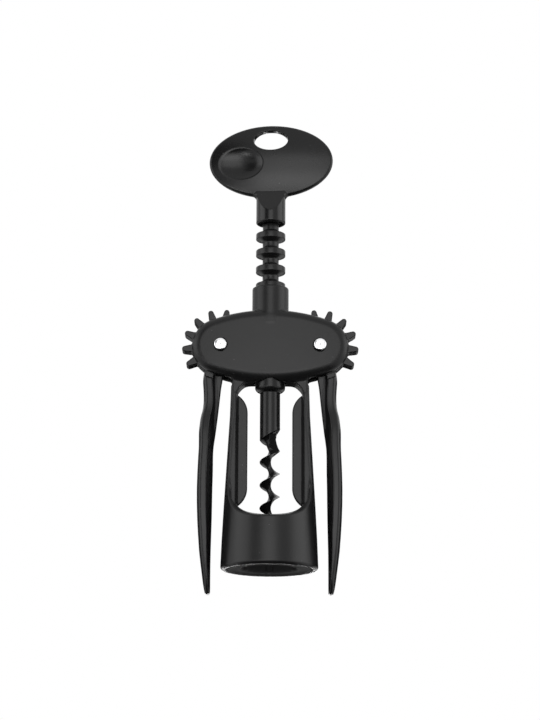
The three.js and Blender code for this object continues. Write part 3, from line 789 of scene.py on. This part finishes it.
def lever_field(x, y, z):
    """The field of the right lever."""
    out = x - pivot_offset
    rise = z - pivot_height
    down = -rise
    deep = np.abs(y)
    radius = np.hypot(out, rise)

    # The tooth nearest to each point, laid along its own axis
    pitch = 2 * pi / teeth
    phase = asin(first_tooth_offset / pitch_radius)
    swing = pi - phase - np.arctan2(rise, out)
    swing = np.where(swing > gap_turn, swing - 2 * pi, swing)
    count = np.clip(np.round(swing / pitch), first_tooth, last_tooth)
    toward = pi - phase - count * pitch
    along = out * np.cos(toward) + rise * np.sin(toward)
    across = np.abs(-out * np.sin(toward) + rise * np.cos(toward))
    flank = across - np.interp(along, [tooth_root, tooth_shoulder], [tooth_half_root, tooth_half_tip])
    tooth = np.where(along < tooth_shoulder, flank, np.hypot(along - tooth_shoulder, across) - tooth_half_tip)
    gear = filleted(radius - gear_radius, np.maximum(tooth, tooth_sink_radius - along), gear_fillet)
    gear = rounded(gear, deep - gear_half_depth, gear_edge)

    outer, inner, half, thin = (np.interp(down, *line) for line in lever_lines)
    ridge = half + (ridge_half_width - half) * thin
    under = outer - np.minimum(rim_depth, (outer - inner) * rim_share)
    edge = np.minimum(deep / half, crown_reach)
    crown = np.minimum(crown_height, (outer - inner) / crown_thinness) * np.maximum(thin, least_crown)
    face = out - outer + crown * edge ** crown_power
    arm = rounded(face, deep - half, arm_edge)

    # The slanted sides run from the rim's back corner in to the ridge, and are a little hollow.
    # Near the hub they are steep, and the ridge stands out beside them
    foot = inner + (under - inner) * np.interp(down, *foot_shares)
    length = np.hypot(under - foot, half - ridge)
    slant = ((deep - half) * (under - foot) - (out - under) * (half - ridge)) / length
    share = np.clip((under - out) / (under - foot), 0, 1)
    slant = slant + side_hollow * thin * share * (1 - share)
    arm = rounded(arm, slant, side_edges[0] + side_edges[1] * thin)
    arm = filleted(arm, rounded(face, deep - ridge, ridge_edge), ridge_fillet)
    arm = rounded(arm, inner - out, inner_edge)
    arm = rounded(rounded(arm, down - arm_end, arm_end_edge), arm_top - down, arm_top_edge)

    # Near the pivot the arm is as thin as the gear, so that it turns between the plates
    arm = cut(arm, np.maximum(radius - hub_room_radius, gear_half_depth - deep), hub_room_edge)
    lever = filleted(gear, arm, hub_fillet)
    return np.maximum(lever, hub_bore - radius)


# The left lever is the right one's mirror image, point by point
lever_step = 0.4
lever_box = {"low": (4.4, -7, -9.5), "high": (35.2, 7, 104.6)}
lever_right = skinned("lever_right", lever_field, **lever_box, step=lever_step)
lever_points = np.empty(len(lever_right.data.vertices) * 3)
lever_right.data.vertices.foreach_get("co", lever_points)
mirrored = (-1000, 1000, 1000)  # from metres, and back to millimetres
lever_points = lever_points.reshape(-1, 3) * mirrored
lever_faces = [list(face.vertices)[::-1] for face in lever_right.data.polygons]
left_facing = facing_out(lambda x, y, z: lever_field(-x, y, z), lever_points, lever_step * facing_reach)
lever_left = meshed("lever_left", lever_points, lever_faces, left_facing)
lever_lacquer = lacquer("satin_black_lever", black, roughness=0.3, grain=0.4)
for side, lever in (("left", lever_left), ("right", lever_right)):
    lever.data.materials.append(lever_lacquer)
    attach(lever, "lever_" + side)
    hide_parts("lever_" + side)

# Pivot pins: bright plated steel rivets through both plates and the lever's hub, with a low
# domed head set in a recess on each face.
pin_head = [(2.0, 6.9), (2.2, 6.9)] + bent((2.27, 7.05), 0.15, -90, 0, 3)
pin_head += [(2.42, 7.45), (2.39, 7.56), (2.3, 7.65), (2.05, 7.74), (1.55, 7.84), (0.85, 7.93), (0.001, 7.97)]
pin_sides = 48
pin_profile = [(0.001, -8)] + [(r, -h) for r, h in pin_head[::-1][1:]] + pin_head


def plated_steel(name):
    """Bright plating with faint marks from the forming die."""
    material = bpy.data.materials.new(name)
    material.use_nodes = True
    nodes = material.node_tree.nodes
    link = material.node_tree.links.new
    shader = nodes["Principled BSDF"]
    shader.inputs["Metallic"].default_value = 1
    place = nodes.new("ShaderNodeTexCoord")
    marks = node_set(nodes, "ShaderNodeTexNoise", {"Scale": 900})
    link(place.outputs["Object"], marks.inputs["Vector"])
    tint = nodes.new("ShaderNodeValToRGB")
    tint.color_ramp.elements[0].color = (0.72, 0.725, 0.74, 1)
    tint.color_ramp.elements[1].color = (0.9, 0.9, 0.905, 1)
    link(marks.outputs["Fac"], tint.inputs["Fac"])
    link(tint.outputs["Color"], shader.inputs["Base Color"])
    gloss = node_set(nodes, "ShaderNodeMapRange", {"To Min": 0.16, "To Max": 0.3})
    link(marks.outputs["Fac"], gloss.inputs["Value"])
    link(gloss.outputs["Result"], shader.inputs["Roughness"])
    return material


pin_steel = plated_steel("bright_pin_steel")
for side, across in (("left", -1), ("right", 1)):
    pin = turned("pin_" + side, pin_profile, pin_sides)
    pin.data.transform(Matrix.Rotation(pi / 2, 4, "X"))
    place = (across * pivot_offset * millimetre, 0, pivot_height * millimetre)
    pin.data.transform(Matrix.Translation(place))
    pin.data.materials.append(pin_steel)
    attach(pin, "frame")
    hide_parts("pivot_pin_" + side)

# Studio: a pale floor well under the tool, which a stand out of sight would hold up, and large
# soft boxes in front and at the sides. Black cloths and flags out of the picture darken what the
# gloss shows from below and at the edges, as a photographer's do. The background is plain white.
floor_height = -0.15
floor_half_size = 8
floor_lift = 0.55
floor_shade = 0.8
cloth_height = -0.148
low_flag_place = 0.3
black_shade = 0.01


def panel(name, points, shade):
    """A flat or bent panel from rows of points in metres, with a plain matt material."""
    rows, columns = len(points), len(points[0])
    flat = [point for row in points for point in row]
    faces = []
    for r in range(rows - 1):
        for c in range(columns - 1):
            first = r * columns + c
            faces.append((first, first + 1, first + columns + 1, first + columns))
    mesh = bpy.data.meshes.new(name)
    mesh.from_pydata(flat, [], faces)
    piece = bpy.data.objects.new(name, mesh)
    bpy.context.scene.collection.objects.link(piece)
    material = bpy.data.materials.new(name)
    material.use_nodes = True
    shader = material.node_tree.nodes["Principled BSDF"]
    shader.inputs["Base Color"].default_value = (shade, shade, shade, 1)
    shader.inputs["Roughness"].default_value = 0.9
    shader.inputs["Specular IOR Level"].default_value = 0.1
    piece.data.materials.append(material)
    return piece


def seen_background(tree):
    """A socket that is 1 for what the camera, gloss and glass see, and 0 for all other light."""
    ray = tree.nodes.new("ShaderNodeLightPath")
    seen = ray.outputs["Is Camera Ray"]
    for kind in ("Is Glossy Ray", "Is Transmission Ray"):
        larger = tree.nodes.new("ShaderNodeMath")
        larger.operation = "MAXIMUM"
        tree.links.new(seen, larger.inputs[0])
        tree.links.new(ray.outputs[kind], larger.inputs[1])
        seen = larger.outputs["Value"]
    return seen


sides = (-floor_half_size, floor_half_size)
floor = panel("floor", [[(x, y, floor_height) for x in sides] for y in sides], floor_shade)
tree = floor.data.materials[0].node_tree
lift = tree.nodes.new("ShaderNodeMath")
lift.operation = "MULTIPLY"
lift.inputs[1].default_value = floor_lift
tree.links.new(seen_background(tree), lift.inputs[0])
shader = tree.nodes["Principled BSDF"]
shader.inputs["Emission Color"].default_value = (1, 1, 1, 1)
tree.links.new(lift.outputs["Value"], shader.inputs["Emission Strength"])


def around(turn, reach, height):
    """A point at that turn from the front, towards the right, at that distance and height."""
    return (reach * sin(radians(turn)), -reach * cos(radians(turn)), height)


def black_panel(name, points):
    """A black cloth or flag that darkens what the gloss shows, and no surface beside it."""
    piece = panel(name, points, black_shade)
    piece.visible_camera = False
    piece.visible_diffuse = False
    return piece


def cloth(name, left, right, near, far):
    """A black cloth on the floor."""
    piece = black_panel(name, [[(left, y, cloth_height), (right, y, cloth_height)] for y in (near, far)])
    piece.visible_shadow = False


def low_flag(name, left, right, low, high):
    """A small upright flag close behind the tool, for what looks down and back in the gloss."""
    black_panel(name, [[(left, low_flag_place, z), (right, low_flag_place, z)] for z in (low, high)])


def bent_flag(name, turns, reach, heights):
    """A large upright flag, bent about the tool."""
    black_panel(name, [[around(t, reach, h) for t in turns] for h in heights])


cloth("floor_cloth", left=-0.12, right=0.12, near=-0.02, far=0.92)
cloth("front_floor_cloth", left=-0.3, right=0.3, near=-1.05, far=-0.02)
low_flag("arch_flag", left=-0.1, right=0.1, low=-0.03, high=0.072)
low_flag("key_flag", left=-0.03, right=0.03, low=0.072, high=0.165)
low_flag("key_left_flag", left=-0.12, right=-0.05, low=0.08, high=0.2)
low_flag("key_right_flag", left=0.05, right=0.12, low=0.08, high=0.2)
bent_flag("back_flag", range(168, 193, 6), reach=1.7, heights=(0.13, 0.33))
bent_flag("back_left_flag", range(192, 241, 6), reach=1.7, heights=(cloth_height, 0.5))
bent_flag("back_right_flag", range(120, 169, 6), reach=1.7, heights=(cloth_height, 0.5))
bent_flag("left_high_flag", range(-46, -21, 4), reach=1.45, heights=(0.5, 1.3))
bent_flag("left_low_flag", range(-42, -25, 4), reach=1.45, heights=(0.1, 0.3))


def soft_box(name, place, aim, width, height, glow):
    """A rectangular area lamp that points at a spot, with its brightness per unit of area."""
    lamp = bpy.data.lights.new(name, "AREA")
    lamp.shape = "RECTANGLE"
    lamp.size = width
    lamp.size_y = height
    lamp.energy = glow * pi * width * height
    holder = bpy.data.objects.new(name, lamp)
    holder.location = place
    holder.rotation_euler = (Vector(aim) - Vector(place)).to_track_quat("-Z", "Y").to_euler()
    holder.visible_camera = False
    bpy.context.scene.collection.objects.link(holder)
    return holder


soft_box("front_low_box", (0, -1.65, 0.105), (0, 0, 0.105), width=0.92, height=0.49, glow=3.5)
soft_box("front_high_box", (0, -1.65, 0.623), (0, 0, 0.623), width=0.92, height=0.54, glow=1.9)
soft_box("left_box", around(-71, 1.4, 0.43), (0, 0, 0.43), width=1.1, height=0.93, glow=1.65)
soft_box("right_box", around(77, 1.4, 0.43), (0, 0, 0.43), width=1.1, height=0.93, glow=1.85)
lip_box = soft_box("lip_box", (0, 0.93, -0.12), (0, 0, -0.12), width=0.4, height=0.05, glow=9.0)
lip_box.visible_diffuse = False
left_low_place = (-0.46, -1.0, -0.13)
left_low_box = soft_box("left_low_box", left_low_place, (0, 0, 0.166), width=0.25, height=0.25, glow=6.0)
left_low_box.visible_diffuse = False
soft_box("back_box", (0, 1.3, 1.3), (0, 0, 0.09), width=1.2, height=0.5, glow=1.2)

world = bpy.data.worlds.new("studio")
bpy.context.scene.world = world
world.use_nodes = True
tree = world.node_tree
strength = node_set(tree.nodes, "ShaderNodeMapRange", {"To Min": 0.45, "To Max": 1})
tree.links.new(seen_background(tree), strength.inputs["Value"])
background = tree.nodes["Background"]
background.inputs["Color"].default_value = (1, 1, 1, 1)
tree.links.new(strength.outputs["Result"], background.inputs["Strength"])

bpy.context.scene.view_settings.view_transform = "Standard"
